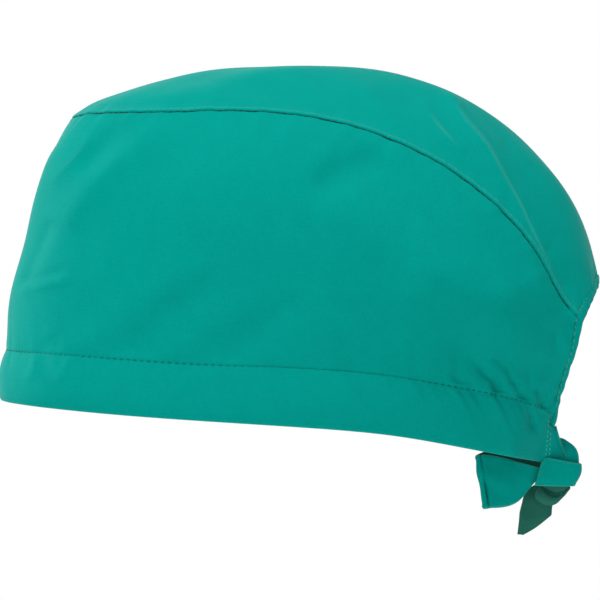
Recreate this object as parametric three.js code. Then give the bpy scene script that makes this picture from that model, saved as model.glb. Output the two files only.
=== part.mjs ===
// Tie-back scrub cap, worn shape. Millimetres, +Z up.
// The forehead points to -Y and the nape to +Y; +X is the wearer's left.
// The origin is where the head enters: the middle of the head opening, at the height of the rim.
import * as THREE from 'three';

// Cloth and gaps
const clothThickness = 1.2;
const hemThickness = 2.0;
const hemProud = 0.4;
const hemWidth = 3.8;
const halfGap = 0.15;

// Plan curves of the band, from the forehead (0 degrees) round to the back end
const planCentreY = 5;
const rimCurve = { halfWidth: 78, frontReach: 114.8, backReach: 103.6, frontPower: 2.3, endAngle: 173 };
const stitchCurve = { halfWidth: 80, frontReach: 113.4, backReach: 109.7, frontPower: 2.3, endAngle: 168 };

// Heights of the band's lower edge and of its stitch line, by place along the cap
const bandHeights = [
  { y: -111, rimZ: 11.4, stitchZ: 31.6 },
  { y: -65, rimZ: 7.6, stitchZ: 29.0 },
  { y: -30, rimZ: 5.3, stitchZ: 26.8 },
  { y: 10, rimZ: 2.8, stitchZ: 25.2 },
  { y: 47, rimZ: -0.9, stitchZ: 21.7 },
  { y: 66, rimZ: -4.4, stitchZ: 18.4 },
  { y: 82, rimZ: -7.8, stitchZ: 15.2 },
  { y: 98, rimZ: -11.4, stitchZ: 10.8 },
  { y: 111, rimZ: -14.6, stitchZ: 5.2 },
];

// Stations along the crown seam, from the forehead (0) to the back corner (1). ridgeY and ridgeZ are
// the middle of the crown at the same station.
const seamStations = [
  { u: 0.0, seamX: 0, seamY: -82.4, seamZ: 123.2, ridgeY: -82.4, ridgeZ: 123.2 },
  { u: 0.1, seamX: 23, seamY: -78.4, seamZ: 124.0, ridgeY: -76.6, ridgeZ: 127.9 },
  { u: 0.2, seamX: 42, seamY: -64.5, seamZ: 124.2, ridgeY: -63.5, ridgeZ: 133.9 },
  { u: 0.3, seamX: 54.5, seamY: -43, seamZ: 123.9, ridgeY: -43, ridgeZ: 139.6 },
  { u: 0.4, seamX: 61, seamY: -18, seamZ: 124.1, ridgeY: -18, ridgeZ: 143.3 },
  { u: 0.5, seamX: 62.8, seamY: 7, seamZ: 122.4, ridgeY: 8, ridgeZ: 145.1 },
  { u: 0.6, seamX: 62.8, seamY: 31, seamZ: 117.4, ridgeY: 35, ridgeZ: 143.3 },
  { u: 0.7, seamX: 61.6, seamY: 55, seamZ: 107.8, ridgeY: 66, ridgeZ: 135.1 },
  { u: 0.8, seamX: 59, seamY: 78, seamZ: 93.0, ridgeY: 96.5, ridgeZ: 116.0 },
  { u: 0.9, seamX: 54, seamY: 101, seamZ: 68.0, ridgeY: 120.4, ridgeZ: 86.4 },
  { u: 0.95, seamX: 50, seamY: 109.4, seamZ: 53.2, ridgeY: 126.0, ridgeZ: 70.8 },
  { u: 1.0, seamX: 45, seamY: 118.6, seamZ: 42.3, ridgeY: 128, ridgeZ: 57.6 },
];

// How far the side panel bows out of the straight line from its stitch line to the seam, at the same
// stations and at three shares of its height
const bowHeights = { low: 0.25, middle: 0.5, high: 0.8 };
const bowStations = [
  { u: 0.0, low: 4.2, middle: 5.3, high: 4.3 },
  { u: 0.1, low: 4.7, middle: 6.4, high: 5.8 },
  { u: 0.2, low: 5.6, middle: 9.2, high: 8.6 },
  { u: 0.3, low: 6.5, middle: 11.6, high: 11.2 },
  { u: 0.4, low: 7.0, middle: 12.9, high: 12.4 },
  { u: 0.5, low: 7.2, middle: 13.3, high: 12.8 },
  { u: 0.6, low: 7.2, middle: 13.0, high: 12.4 },
  { u: 0.7, low: 6.8, middle: 11.8, high: 11.0 },
  { u: 0.8, low: 5.6, middle: 9.0, high: 8.2 },
  { u: 0.9, low: 3.2, middle: 4.8, high: 4.2 },
  { u: 0.95, low: 1.2, middle: 2.2, high: 2.2 },
  { u: 1.0, low: -0.4, middle: 0.2, high: 0.4 },
];

// The crown's rise from the seam to its middle: 2 is a parabola, more is a fuller, flatter top
const crownFullness = 2.2;

// The crown's folds die out towards the middle of the cap, between these distances from it. All
// folds die out towards the seams; a higher power keeps them to nearer the seam.
const ridgeCalm = { from: 5, to: 22 };
const wallCalmPower = 8;
const crownCalmPower = 10;

// Section of the band: down runs from the stitch line (0) to the rim (1), and lift is how far the
// outer and the inner face stand out of the straight line between them
const bandSection = [
  { down: 0.007, outer: 0.0, inner: -1.2 },
  { down: 0.1, outer: 0.9, inner: -1.4 },
  { down: 0.35, outer: 1.9, inner: -1.2 },
  { down: 0.65, outer: 2.2, inner: -1.0 },
  { down: 0.88, outer: 1.5, inner: -1.2 },
  { down: 1.0, outer: 0.1, inner: -1.4 },
];

// Folds and dents, each a line from (fromY, fromZ) to (toY, toZ) in the side view. side is 1 for the
// wearer's left, -1 for the right and 0 for both. lift is positive for a fold that stands out.
const sideFolds = [
  { name: 'hump under the seam', side: 1, fromY: 12, fromZ: 112, toY: 18, toZ: 104, width: 11, lift: 1.5 },
  { name: 'hollow before it', side: 1, fromY: 0, fromZ: 117, toY: 5, toZ: 110, width: 8, lift: -1.2 },
  { name: 'hollow behind it', side: 1, fromY: 28, fromZ: 110, toY: 32, toZ: 101, width: 8, lift: -1.2 },
  { name: 'forehead crease', side: 1, fromY: -79, fromZ: 113, toY: -87, toZ: 101, width: 5, lift: 1.0 },
  { name: 'temple crease', side: 1, fromY: -90, fromZ: 81, toY: -100, toZ: 63, width: 5, lift: -1.0 },
  { name: 'hollow at the nape', side: 0, fromY: 97, fromZ: 33, toY: 103, toZ: 14, width: 7, lift: -1.6 },
  { name: 'back edge gather', side: 0, fromY: 82, fromZ: 32, toY: 89, toZ: 18, width: 4, lift: -1.1 },
  { name: 'gather over the ear', side: 0, fromY: 66, fromZ: 28, toY: 70, toZ: 21, width: 4, lift: -0.8 },
  { name: 'slack right side', side: -1, fromY: -20, fromZ: 105, toY: 10, toZ: 95, width: 14, lift: 1.0 },
];
const crownFolds = [
  { name: 'long pleat, upper', side: 1, fromY: 68, fromZ: 132, toY: 84, toZ: 103, width: 6, lift: 1.8 },
  { name: 'long pleat, lower', side: 1, fromY: 84, fromZ: 103, toY: 105, toZ: 62, width: 6, lift: 1.8 },
  { name: 'short pleat', side: 1, fromY: 58, fromZ: 126, toY: 69, toZ: 113, width: 5, lift: 1.0 },
  { name: 'corner hollow', side: 0, fromY: 108, fromZ: 68, toY: 112, toZ: 58, width: 4, lift: -1.2 },
  { name: 'temple fold', side: 0, fromY: -24, fromZ: 130, toY: -4, toZ: 127, width: 4, lift: 0.8 },
  { name: 'right pleat', side: -1, fromY: 72, fromZ: 128, toY: 98, toZ: 78, width: 8, lift: 1.2 },
];

// The knot at the nape. All its rows count from its middle.
const knotMiddle = { x: 6, y: 111, z: -17 };
const tieThickness = 1.3;

// Turns of the knot's wrap, top to bottom: its middle, its half length along Y and its half width
const wrapRows = [
  { y: 1.8, z: 4.4, length: 6.9, width: 6.8, slope: -0.22 },
  { y: 1.2, z: 1.6, length: 8.1, width: 7.6, slope: -0.15 },
  { y: 0.3, z: -1.8, length: 8.6, width: 7.8, slope: -0.06 },
  { y: -1.6, z: -5.4, length: 7.9, width: 7.2, slope: -0.02 },
];
const wrapPower = 2.6;
const coreSize = { length: 5.9, width: 5.2, height: 4.4 };

// Strips of tie, each with an upper (or left) edge and a lower (or right) edge at every row.
// bulge is how far its middle stands out of the line between its edges.
const tieLeftRows = [
  { aX: 12.4, aY: -1.0, aZ: 18.6, bX: 6.6, bY: -2.7, bZ: 6.6, bulge: 0.4 },
  { aX: 9.4, aY: 0.6, aZ: 13.6, bX: 5.0, bY: -2.9, bZ: 7.2, bulge: 0.7 },
  { aX: 5.2, aY: 2.4, aZ: 9.0, bX: 3.2, bY: -2.8, bZ: 7.0, bulge: 0.6 },
  { aX: 2.0, aY: 3.8, aZ: 5.6, bX: 1.2, bY: -2.6, bZ: 5.2, bulge: 0.3 },
];
const tieRightRows = [
  { aX: -24.5, aY: -0.9, aZ: 18.6, bX: -18.6, bY: -2.9, bZ: 4.4, bulge: -0.6 },
  { aX: -17.5, aY: 3.0, aZ: 15.0, bX: -13.0, bY: -2.0, bZ: 5.8, bulge: -1.0 },
  { aX: -9.6, aY: 6.4, aZ: 11.8, bX: -7.2, bY: -1.0, bZ: 6.8, bulge: -1.2 },
  { aX: -3.4, aY: 8.4, aZ: 4.2, bX: -2.0, bY: 1.6, bZ: 5.6, bulge: -0.8 },
];
const loopRows = [
  { aX: 2.4, aY: -7.6, aZ: 2.4, bX: 2.4, bY: -10.2, bZ: -4.4, bulge: 0.6 },
  { aX: 5.0, aY: -12.6, aZ: 2.8, bX: 5.0, bY: -13.2, bZ: -8.4, bulge: 1.2 },
  { aX: 8.4, aY: -18.5, aZ: 4.0, bX: 9.0, bY: -16.8, bZ: -12.2, bulge: 1.2 },
  { aX: 11.4, aY: -24.6, aZ: 5.6, bX: 13.0, bY: -22.4, bZ: -13.8, bulge: 0.8 },
  { aX: 13.0, aY: -30.9, aZ: 7.2, bX: 15.4, bY: -28.8, bZ: -14.2, bulge: 0.2 },
  { aX: 11.4, aY: -31.8, aZ: 7.3, bX: 13.4, bY: -29.7, bZ: -14.2, bulge: 0.0 },
  { aX: 9.7, aY: -30.9, aZ: 7.3, bX: 11.2, bY: -28.7, bZ: -14.1, bulge: -0.2 },
  { aX: 7.2, aY: -24.0, aZ: 6.4, bX: 8.2, bY: -21.6, bZ: -13.4, bulge: -0.8 },
  { aX: 3.6, aY: -17.6, aZ: 6.0, bX: 4.2, bY: -16.4, bZ: -11.6, bulge: -1.2 },
  { aX: 0.0, aY: -12.4, aZ: 4.8, bX: 0.0, bY: -12.6, bZ: -8.0, bulge: -1.2 },
  { aX: -1.8, aY: -8.4, aZ: 3.4, bX: -1.8, bY: -10.4, bZ: -4.4, bulge: -0.6 },
];
const tailRows = [
  { aX: -3.0, aY: -6.0, aZ: -4.4, bX: -3.0, bY: 3.0, bZ: -4.4, bulge: 0.2 },
  { aX: -2.8, aY: -8.0, aZ: -6.8, bX: -2.8, bY: 3.6, bZ: -7.4, bulge: 0.6 },
  { aX: -2.6, aY: -11.8, aZ: -9.2, bX: -2.6, bY: 1.6, bZ: -10.4, bulge: 1.0 },
  { aX: -1.6, aY: -13.4, aZ: -14.0, bX: -1.6, bY: -1.2, bZ: -13.8, bulge: 1.2 },
  { aX: -0.8, aY: -14.3, aZ: -19.0, bX: -0.6, bY: -1.8, bZ: -18.2, bulge: 1.0 },
  { aX: -0.2, aY: -14.8, aZ: -22.6, bX: 0.0, bY: -7.4, bZ: -22.6, bulge: 0.6 },
  { aX: 0.2, aY: -15.2, aZ: -25.6, bX: 0.2, bY: -12.8, bZ: -25.5, bulge: 0.2 },
];
const knotFoldRows = [
  { aX: 3.0, aY: -5.0, aZ: -4.1, bX: 3.0, bY: 2.2, bZ: -4.1, bulge: 0.2 },
  { aX: 3.4, aY: -5.8, aZ: -6.8, bX: 3.4, bY: 3.4, bZ: -6.8, bulge: 0.9 },
  { aX: 3.6, aY: -6.6, aZ: -8.6, bX: 3.4, bY: 2.8, bZ: -8.8, bulge: 1.2 },
  { aX: 3.2, aY: -5.4, aZ: -11.2, bX: 3.0, bY: 0.2, bZ: -11.4, bulge: 0.8 },
];

// Finish of the cloth: dyed plain-woven polyester and cotton, and its duller reverse side
const clothFinish = { color: 0x049887, roughness: 0.82, metalness: 0 };
const reverseFinish = { color: 0x2a6656, roughness: 0.9, metalness: 0 };

// How finely the cloth is divided
const seamSteps = 30;
const wallSteps = 13;
const crownSteps = 18;
const hemSteps = 2;
const tieSteps = 8;
const loopSteps = 24;
const tailSteps = 10;
const foldSteps = 6;
const stripAcrossSteps = 4;
const wrapTurnSteps = 20;
const coreSteps = { around: 16, along: 9 };

// Where the side panel's lower edge starts, as a share of its height, clear of the band
const wallFoot = 0.002;

// A smooth curve through one column of a table, read at one place of another column
function readTable(rows, by, column, at) {
  const last = rows.length - 1;
  let i = 0;
  while (i < last - 1 && at > rows[i + 1][by]) {
    i += 1;
  }
  const slope = (k) => {
    const before = rows[Math.max(k - 1, 0)];
    const after = rows[Math.min(k + 1, last)];
    return (after[column] - before[column]) / (after[by] - before[by]);
  };
  const span = rows[i + 1][by] - rows[i][by];
  const t = (at - rows[i][by]) / span;
  const rise = t * t * (3 - 2 * t);
  const value = rows[i][column] * (1 - rise) + rows[i + 1][column] * rise;
  const leave = slope(i) * span * t * (1 - t) * (1 - t);
  const arrive = slope(i + 1) * span * t * t * (t - 1);
  return value + leave + arrive;
}

// The rows of both sides: the right half mirrors the left
function bothSides(rows) {
  const mirrored = rows.slice(1).reverse().map((row) => ({ ...row, u: -row.u, seamX: -row.seamX }));
  return [...mirrored, ...rows];
}

const seamRows = bothSides(seamStations);
const bowRows = bothSides(bowStations);
const seamAt = (column, u) => readTable(seamRows, 'u', column, u);
const bowAt = (column, u) => readTable(bowRows, 'u', column, u);

function seamPoint(u) {
  return new THREE.Vector3(seamAt('seamX', u), seamAt('seamY', u), seamAt('seamZ', u));
}

// A point of a plan curve, which is a superellipse before the ears and an ellipse behind them
function planPoint(curve, u) {
  const angle = THREE.MathUtils.degToRad(curve.endAngle * u);
  const forward = Math.cos(angle);
  const reach = forward > 0 ? curve.frontReach : curve.backReach;
  const power = forward > 0 ? curve.frontPower : 2;
  const sum = (Math.abs(forward) / reach) ** power + (Math.abs(Math.sin(angle)) / curve.halfWidth) ** power;
  const radius = sum ** (-1 / power);
  return new THREE.Vector3(radius * Math.sin(angle), planCentreY - radius * forward, 0);
}

function bandEdge(curve, column, u) {
  const point = planPoint(curve, u);
  point.z = readTable(bandHeights, 'y', column, point.y);
  return point;
}

// The level direction straight out of the cap at a place
function outwardAt(point) {
  const reach = point.y < planCentreY ? stitchCurve.frontReach : stitchCurve.backReach;
  const across = point.x / stitchCurve.halfWidth ** 2;
  const along = (point.y - planCentreY) / reach ** 2;
  return new THREE.Vector3(across, along, 0).normalize();
}

// How far the folds of a list lift the cloth at a place
function foldLift(folds, point) {
  let lift = 0;
  for (const fold of folds) {
    if (fold.side * point.x < 0) {
      continue;
    }
    const runY = fold.toY - fold.fromY;
    const runZ = fold.toZ - fold.fromZ;
    const along = ((point.y - fold.fromY) * runY + (point.z - fold.fromZ) * runZ) / (runY ** 2 + runZ ** 2);
    const nearest = THREE.MathUtils.clamp(along, 0, 1);
    const offY = point.y - fold.fromY - nearest * runY;
    const offZ = point.z - fold.fromZ - nearest * runZ;
    lift += fold.lift * Math.exp(-(offY ** 2 + offZ ** 2) / fold.width ** 2);
  }
  return lift;
}

// The side panel's outer face: u runs round the cap, v from the stitch line up to the crown seam
function wallPoint(u, v) {
  const point = bandEdge(stitchCurve, 'stitchZ', u).lerp(seamPoint(u), v);
  const bows = [
    { v: 0, out: 0 },
    { v: bowHeights.low, out: bowAt('low', u) },
    { v: bowHeights.middle, out: bowAt('middle', u) },
    { v: bowHeights.high, out: bowAt('high', u) },
    { v: 1, out: 0 },
  ];
  const calm = (1 - Math.abs(2 * v - 1) ** wallCalmPower) ** 2;
  const out = readTable(bows, 'v', 'out', v) + calm * foldLift(sideFolds, point);
  return point.addScaledVector(outwardAt(point), out);
}

// The crown's outer face: k runs across from the right seam to the left one, w from front to rear
const crownHeart = new THREE.Vector3(0, 20, 50);

function crownPoint(k, w) {
  const seam = seamPoint(w);
  const rise = 1 - Math.abs(k) ** crownFullness;
  const swing = 1 - k ** 2;
  const point = new THREE.Vector3(
    seam.x * k,
    seam.y + (seamAt('ridgeY', w) - seam.y) * swing,
    seam.z + (seamAt('ridgeZ', w) - seam.z) * rise,
  );
  const beside = THREE.MathUtils.smoothstep(Math.abs(point.x), ridgeCalm.from, ridgeCalm.to);
  const calm = beside * (1 - Math.abs(k) ** crownCalmPower) ** 2;
  const outward = point.clone().sub(crownHeart).normalize();
  return point.addScaledVector(outward, calm * foldLift(crownFolds, point));
}

// Slopes of a face at a place, within its domain
const probe = 0.002;

function slopes(face, a, b, low, high) {
  const aLow = Math.max(a - probe, low[0]);
  const aHigh = Math.min(a + probe, high[0]);
  const bLow = Math.max(b - probe, low[1]);
  const bHigh = Math.min(b + probe, high[1]);
  const alongA = face(aHigh, b).sub(face(aLow, b)).divideScalar(aHigh - aLow);
  const alongB = face(a, bHigh).sub(face(a, bLow)).divideScalar(bHigh - bLow);
  return { alongA, alongB };
}

const wallSlopes = (u, v) => slopes(wallPoint, u, v, [-1, 0], [1, 1]);
const tipStart = 0.02;
const crownSlopes = (k, w) => slopes(crownPoint, k, Math.max(w, tipStart), [-1, 0], [1, 1]);

function normalFrom(slope) {
  return slope.alongA.clone().cross(slope.alongB).normalize();
}

// Both panels share one normal along the seam, so that their edges meet in a mitre
function seamNormal(u) {
  const fromWall = normalFrom(wallSlopes(u, 1));
  const fromCrown = normalFrom(crownSlopes(Math.sign(u) || 1, Math.abs(u)));
  return fromWall.add(fromCrown).normalize();
}

// The direction along the cloth from the seam into the crown
function seamInward(u) {
  const before = seamPoint(Math.max(u - probe, -1));
  const after = seamPoint(Math.min(u + probe, 1));
  const along = after.sub(before);
  return seamNormal(u).cross(along).normalize();
}

// A shell of cloth between an outer and an inner grid of points, closed along its edges.
// round joins its first row to its last.
function shellGeometry(outer, inner, round = false) {
  const positions = [];
  const rows = outer.length;
  const columns = outer[0].length;
  const addTriangle = (a, b, c) => {
    const flat = a.distanceToSquared(b) * b.distanceToSquared(c) * c.distanceToSquared(a) === 0;
    if (!flat) {
      positions.push(...a.toArray(), ...b.toArray(), ...c.toArray());
    }
  };
  const addQuad = (a, b, c, d) => {
    addTriangle(a, b, c);
    addTriangle(a, c, d);
  };
  const lastRow = round ? rows : rows - 1;
  for (let i = 0; i < lastRow; i += 1) {
    const next = (i + 1) % rows;
    for (let j = 0; j < columns - 1; j += 1) {
      addQuad(outer[i][j], outer[next][j], outer[next][j + 1], outer[i][j + 1]);
      addQuad(inner[i][j], inner[i][j + 1], inner[next][j + 1], inner[next][j]);
    }
    const end = columns - 1;
    addQuad(outer[next][0], outer[i][0], inner[i][0], inner[next][0]);
    addQuad(outer[i][end], outer[next][end], inner[next][end], inner[i][end]);
  }
  if (!round) {
    const end = rows - 1;
    for (let j = 0; j < columns - 1; j += 1) {
      addQuad(outer[0][j], outer[0][j + 1], inner[0][j + 1], inner[0][j]);
      addQuad(outer[end][j + 1], outer[end][j], inner[end][j], inner[end][j + 1]);
    }
  }
  const geometry = new THREE.BufferGeometry();
  geometry.setAttribute('position', new THREE.Float32BufferAttribute(positions, 3));
  geometry.computeVertexNormals();
  return geometry;
}

// A grid of points, one for each row and column share between 0 and 1
function grid(rows, columns, pointAt) {
  const list = [];
  for (let i = 0; i <= rows; i += 1) {
    const line = [];
    for (let j = 0; j <= columns; j += 1) {
      line.push(pointAt(i / rows, j / columns));
    }
    list.push(line);
  }
  return list;
}

const mix = THREE.MathUtils.lerp;

// A patch of the side panel between two distances from its back edges, with its own thickness
function wallPatch(place, rows, columns, proud, thickness) {
  const vertex = (depth) => (rowShare, columnShare) => {
    const v = mix(wallFoot, 1, columnShare);
    const u = place(rowShare, v);
    const atSeam = columnShare === 1;
    const normal = atSeam ? seamNormal(u) : normalFrom(wallSlopes(u, v));
    const point = wallPoint(u, v);
    if (atSeam) {
      point.addScaledVector(seamInward(u), -halfGap);
    }
    return point.addScaledVector(normal, depth);
  };
  return shellGeometry(grid(rows, columns, vertex(proud)), grid(rows, columns, vertex(proud - thickness)));
}

// How far along u a distance from the back edge is
function backInset(v, distance) {
  return distance / wallSlopes(1, v).alongA.length();
}

function sidePanelGeometry() {
  const place = (rowShare, v) => mix(-1, 1, rowShare) * (1 - backInset(v, hemWidth + 3 * halfGap));
  return wallPatch(place, 2 * seamSteps, wallSteps, 0, clothThickness);
}

function backHemGeometry(side) {
  const place = (rowShare, v) => {
    const inner = 1 - backInset(v, hemWidth - halfGap);
    return side > 0 ? mix(inner, 1, rowShare) : mix(-1, -inner, rowShare);
  };
  return wallPatch(place, hemSteps, wallSteps, hemProud, hemThickness);
}

// A patch of the crown from one station to another, with its own thickness
function crownPatch(place, rows, columns, proud, thickness) {
  const vertex = (depth) => (rowShare, columnShare) => {
    const k = mix(-1, 1, rowShare);
    const w = place(columnShare, k);
    const side = Math.abs(k) === 1 ? k : 0;
    const onSeam = side !== 0 || w === 0;
    const seamPlace = side * w;
    const normal = onSeam ? seamNormal(seamPlace) : normalFrom(crownSlopes(k, w));
    const point = crownPoint(k, w);
    if (onSeam) {
      point.addScaledVector(seamInward(seamPlace), halfGap);
    }
    return point.addScaledVector(normal, depth);
  };
  return shellGeometry(grid(rows, columns, vertex(proud)), grid(rows, columns, vertex(proud - thickness)));
}

function rearInset(k, distance) {
  return distance / crownSlopes(k, 1).alongB.length();
}

function crownPanelGeometry() {
  const place = (columnShare, k) => columnShare * (1 - rearInset(k, hemWidth + halfGap));
  return crownPatch(place, crownSteps, seamSteps, 0, clothThickness);
}

function crownHemGeometry() {
  const place = (columnShare, k) => mix(1 - rearInset(k, hemWidth - halfGap), 1, columnShare);
  return crownPatch(place, crownSteps, hemSteps, hemProud, hemThickness);
}

// The band: a soft flattened tube of doubled cloth from the stitch line down to the rim
function hemBandGeometry() {
  const sections = bandSection.slice().reverse();
  const face = (column) => {
    const pointAt = (rowShare, columnShare) => {
      const u = mix(-1, 1, rowShare);
      const section = sections[Math.round(columnShare * (sections.length - 1))];
      const top = bandEdge(stitchCurve, 'stitchZ', u);
      const point = top.lerp(bandEdge(rimCurve, 'rimZ', u), section.down);
      return point.addScaledVector(outwardAt(point), section[column]);
    };
    return grid(2 * seamSteps, sections.length - 1, pointAt);
  };
  return shellGeometry(face('outer'), face('inner'));
}

// A strip of tie from its table of rows, flat between two edges that each run in a smooth curve
function stripGeometry(rows, steps) {
  const numbered = rows.map((row, index) => ({ ...row, at: index / (rows.length - 1) }));
  const read = (column, at) => readTable(numbered, 'at', column, at);
  const middle = (along, across) => {
    const a = new THREE.Vector3(read('aX', along), read('aY', along), read('aZ', along));
    const b = new THREE.Vector3(read('bX', along), read('bY', along), read('bZ', along));
    const point = b.lerp(a, across);
    point.x += read('bulge', along) * (1 - (2 * across - 1) ** 2);
    return point;
  };
  const vertex = (depth) => (along, across) => {
    const normal = normalFrom(slopes(middle, along, across, [0, 0], [1, 1]));
    return middle(along, across).addScaledVector(normal, depth);
  };
  return shellGeometry(
    grid(steps, stripAcrossSteps, vertex(tieThickness / 2)),
    grid(steps, stripAcrossSteps, vertex(-tieThickness / 2)),
  );
}

// The turn round the knot: a ring of tie on end, flattened to a rounded box in plan
function wrapGeometry() {
  const ring = (depth) => {
    const lines = [];
    for (let i = 0; i < wrapTurnSteps; i += 1) {
      const angle = (2 * Math.PI * i) / wrapTurnSteps;
      const line = wrapRows.map((row) => {
        const across = Math.cos(angle);
        const along = Math.sin(angle);
        const length = row.length - depth;
        const width = row.width - depth;
        const sum = Math.abs(across / width) ** wrapPower + Math.abs(along / length) ** wrapPower;
        const radius = sum ** (-1 / wrapPower);
        const y = radius * along;
        return new THREE.Vector3(radius * across, row.y + y, row.z + row.slope * y);
      });
      lines.push(line.reverse());
    }
    return lines;
  };
  return shellGeometry(ring(0), ring(tieThickness), true);
}

function coreGeometry() {
  const geometry = new THREE.SphereGeometry(1, coreSteps.around, coreSteps.along);
  geometry.rotateX(Math.PI / 2);
  geometry.scale(coreSize.width, coreSize.length, coreSize.height);
  return geometry;
}

function clothMesh(name, geometry, finish) {
  const mesh = new THREE.Mesh(geometry, new THREE.MeshStandardMaterial(finish));
  mesh.name = name;
  return mesh;
}

const group = new THREE.Group();
group.add(
  clothMesh('side_panel', sidePanelGeometry(), clothFinish),
  clothMesh('crown_panel', crownPanelGeometry(), clothFinish),
  clothMesh('crown_hem', crownHemGeometry(), clothFinish),
  clothMesh('back_hem_left', backHemGeometry(1), clothFinish),
  clothMesh('back_hem_right', backHemGeometry(-1), clothFinish),
  clothMesh('hem_band', hemBandGeometry(), clothFinish),
);

const knot = new THREE.Group();
knot.position.set(knotMiddle.x, knotMiddle.y, knotMiddle.z);
knot.add(
  clothMesh('tie_left', stripGeometry(tieLeftRows, tieSteps), clothFinish),
  clothMesh('tie_right', stripGeometry(tieRightRows, tieSteps), clothFinish),
  clothMesh('knot_wrap', wrapGeometry(), clothFinish),
  clothMesh('knot_core', coreGeometry(), clothFinish),
  clothMesh('bow_loop', stripGeometry(loopRows, loopSteps), clothFinish),
  clothMesh('tail_lower', stripGeometry(tailRows, tailSteps), reverseFinish),
  clothMesh('knot_fold', stripGeometry(knotFoldRows, foldSteps), reverseFinish),
);
group.add(knot);

export default group;
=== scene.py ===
import math

import bmesh
import bpy
import numpy as np
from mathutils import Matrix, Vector


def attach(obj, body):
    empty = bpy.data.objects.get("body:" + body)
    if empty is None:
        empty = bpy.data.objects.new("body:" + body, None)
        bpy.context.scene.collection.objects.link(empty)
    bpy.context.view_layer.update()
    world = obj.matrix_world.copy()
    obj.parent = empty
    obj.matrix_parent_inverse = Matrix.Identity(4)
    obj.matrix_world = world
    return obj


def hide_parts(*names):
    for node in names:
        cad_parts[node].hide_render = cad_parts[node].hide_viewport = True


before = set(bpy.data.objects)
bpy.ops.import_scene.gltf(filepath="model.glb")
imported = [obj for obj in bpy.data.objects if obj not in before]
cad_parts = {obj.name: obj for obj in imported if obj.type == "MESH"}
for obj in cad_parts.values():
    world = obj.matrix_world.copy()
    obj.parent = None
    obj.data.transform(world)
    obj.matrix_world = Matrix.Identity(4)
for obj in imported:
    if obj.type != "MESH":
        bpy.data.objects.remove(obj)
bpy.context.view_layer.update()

MM = 0.001

# The photo's viewpoint: level, square to the left side, 1.5 m from the cap's middle. The place and
# the nearest distance shown are in metres, the lens and its sensor in millimetres.
EYE = Vector((1.5, 0.0088, 0.0512))
NEAREST_SHOWN = 0.05
LENS = 225
SENSOR_WIDTH = 36


def table(columns, *rows):
    """Rows of numbers under named columns."""
    names = columns.split()
    return {name: np.array([row[i] for row in rows], float) for i, name in enumerate(names)}


# Thickness of the cloth as drawn, width of the narrow hems, and the length from stitch to stitch
CLOTH = 0.9
HEM_WIDTH = 3.8
STITCH_PITCH = 2.8

# Plan of the band, a superellipse before the ears and an ellipse behind them
PLAN_MIDDLE = 5
ELLIPSE = 2.0
RIM = {"half": 78, "front": 114.8, "back": 103.6, "power": 2.3, "end": 173}
STITCH_LINE = {"half": 80, "front": 113.4, "back": 109.7, "power": 2.3, "end": 168}
BAND_HEIGHTS = table(
    "y rim stitch",
    (-111, 11.4, 31.6),
    (-65, 7.6, 29.0),
    (-30, 5.3, 26.8),
    (10, 2.8, 25.2),
    (47, -0.9, 21.7),
    (66, -4.4, 18.4),
    (82, -7.8, 15.2),
    (98, -11.4, 10.8),
    (111, -14.6, 5.2),
)

# The crown seam from the forehead (0) to the back corner (1), the crown's middle there, and how far
# the side panel bows out at a quarter, half and four fifths of its height
STATIONS = table(
    "u seam_x seam_y seam_z ridge_y ridge_z low middle high",
    (0.0, 0, -82.4, 123.2, -82.4, 123.2, 4.2, 5.3, 4.3),
    (0.1, 23, -78.4, 124.0, -76.6, 127.9, 4.7, 6.4, 5.8),
    (0.2, 42, -64.5, 124.2, -63.5, 133.9, 5.6, 9.0, 7.4),
    (0.3, 54.5, -43, 123.9, -43, 139.6, 6.5, 11.2, 9.2),
    (0.4, 61, -18, 124.1, -18, 143.3, 7.0, 12.4, 10.0),
    (0.5, 62.8, 7, 122.4, 8, 145.1, 7.2, 12.8, 10.3),
    (0.6, 62.8, 31, 117.4, 35, 143.3, 7.3, 12.5, 10.0),
    (0.7, 61.6, 55, 107.8, 66, 135.1, 7.2, 11.6, 9.0),
    (0.8, 59, 78, 93.0, 96.5, 116.0, 6.8, 9.6, 7.2),
    (0.9, 54, 101, 68.0, 120.4, 86.4, 4.2, 5.4, 3.9),
    (0.95, 50, 109.4, 53.2, 126.0, 70.8, 1.2, 2.2, 2.2),
    (1.0, 45, 118.6, 42.3, 128, 57.6, -0.4, 0.2, 0.4),
)
BOW_HEIGHTS = np.array([0, 0.25, 0.5, 0.8, 1])
# The crown's rise from the seam to its middle: 2 is a parabola, more is a fuller, flatter top
CROWN_FULLNESS = 2.2
# The crown's folds stand out from this place inside the cap
CROWN_HEART = np.array([0, 20, 50])

# Round the doubled band: down from the stitch line (0) to the rim (1), and out of the straight line
BAND_ROUND = table(
    "at down out",
    (0, 0.0, -0.2),
    (1, 0.03, 0.1),
    (2, 0.09, 0.55),
    (3, 0.2, 1.25),
    (4, 0.36, 1.9),
    (5, 0.55, 2.2),
    (6, 0.72, 2.05),
    (7, 0.86, 1.55),
    (8, 0.95, 0.95),
    (9, 0.995, 0.25),
    (10, 1.0, -0.6),
    (11, 0.985, -1.2),
    (12, 0.93, -1.5),
    (13, 0.7, -1.7),
    (14, 0.35, -1.8),
    (15, 0.02, -1.8),
)
# Its first rows are the outer face. The relief dies out round the rim, between these two rows.
OUTER_ROWS = 10
RELIEF_GONE, RELIEF_FULL = 11, 8


def soft(name, side, width, lift, *path, shape="soft"):
    """A soft fold or dent, named for the reader only: its width, lift, and path in Y and Z."""
    return {"side": side, "shape": shape, "width": width, "lift": lift, "path": path}


def crisp(*row):
    """The same with a sharp top."""
    return soft(*row, shape="crisp")


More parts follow.
